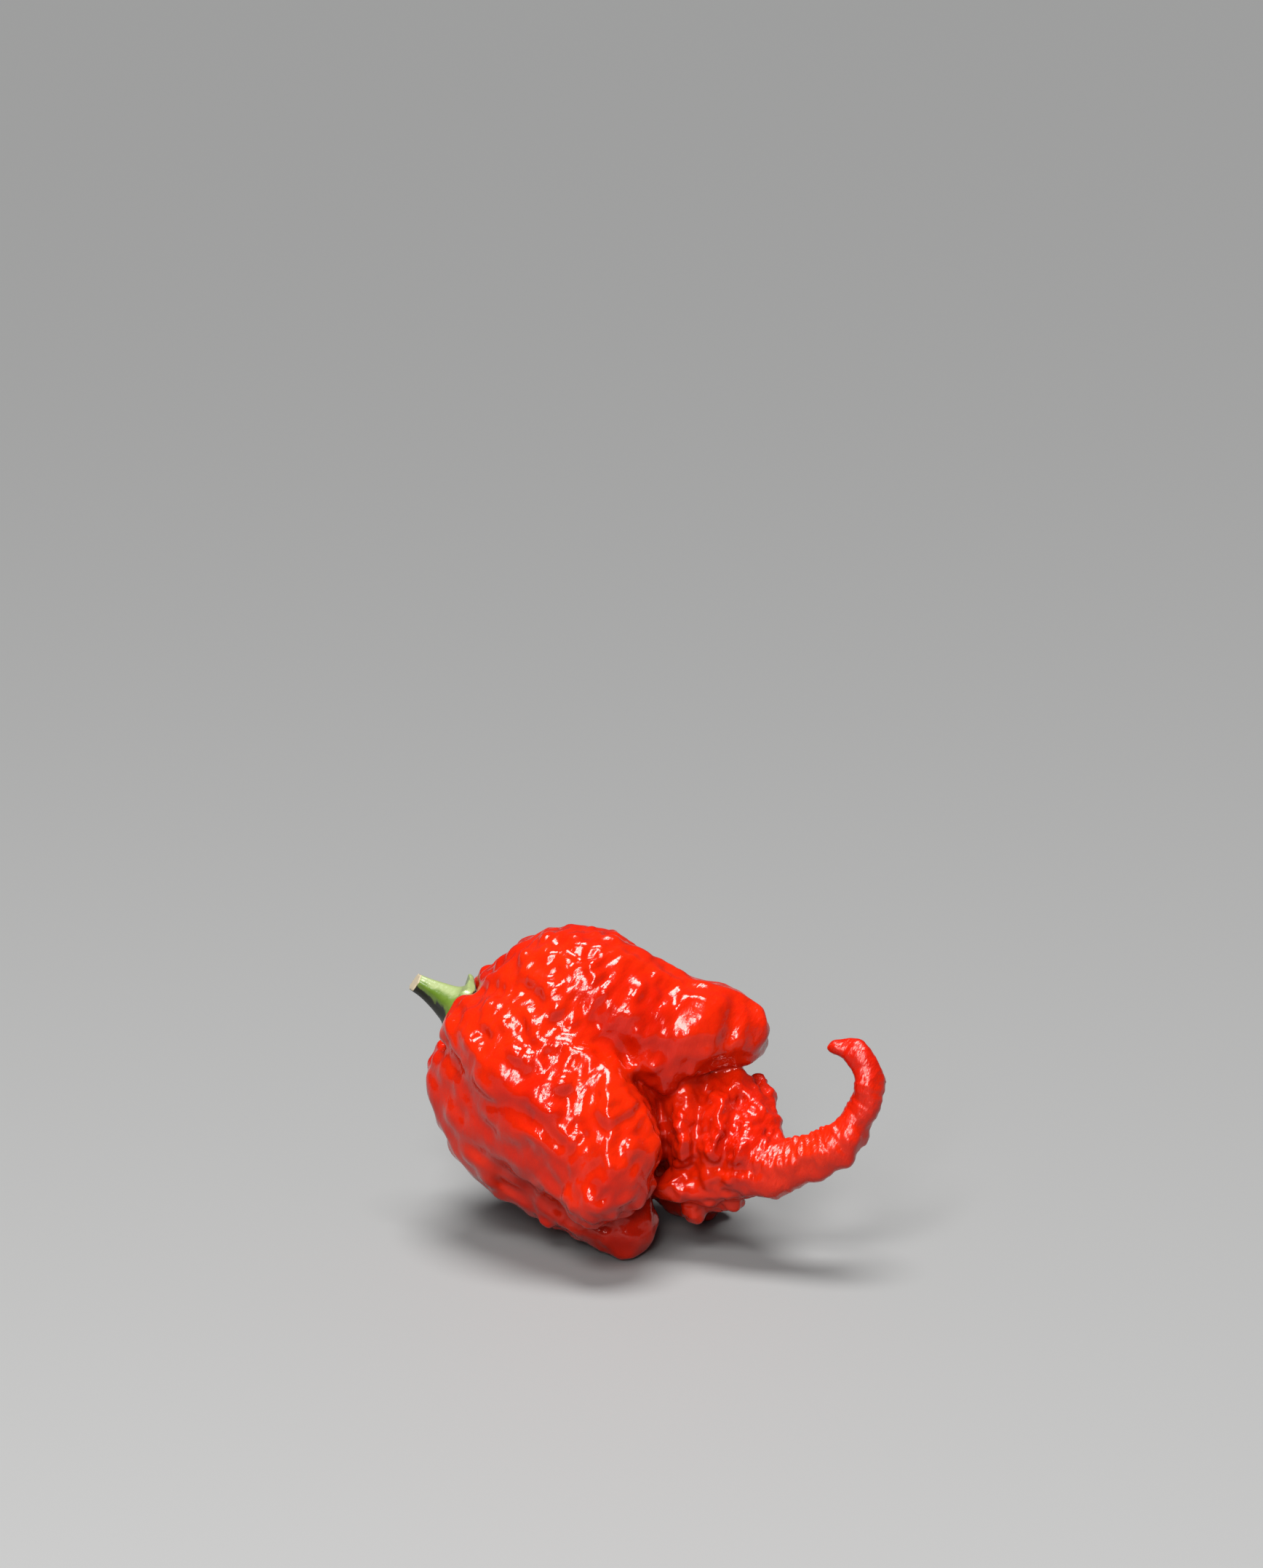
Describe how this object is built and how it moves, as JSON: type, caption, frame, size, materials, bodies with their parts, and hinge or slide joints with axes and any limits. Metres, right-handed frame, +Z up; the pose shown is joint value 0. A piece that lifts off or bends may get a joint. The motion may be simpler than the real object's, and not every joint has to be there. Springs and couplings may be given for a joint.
{
  "type": "chilli pepper",
  "caption": "Wrinkled red chilli pepper lying on its side, with bulging lobes, a hooked tail and a green stalk and calyx.",
  "frame": {"origin": "on the surface that the pepper lies on, under the middle of its bounding box", "axes": "+X from the stalk towards the hooked tail, +Y away from the viewer of the picture, +Z up"},
  "size_m": [0.0573, 0.0378, 0.0392],
  "materials": {
    "pod_red": "glossy, waxy, wrinkled skin",
    "stalk_green": "satin, slightly fibrous, with a dry cut end"
  },
  "bodies": {
    "root": {"pod": "pod_red", "stalk_and_calyx": "stalk_green"}
  },
  "joints": []
}
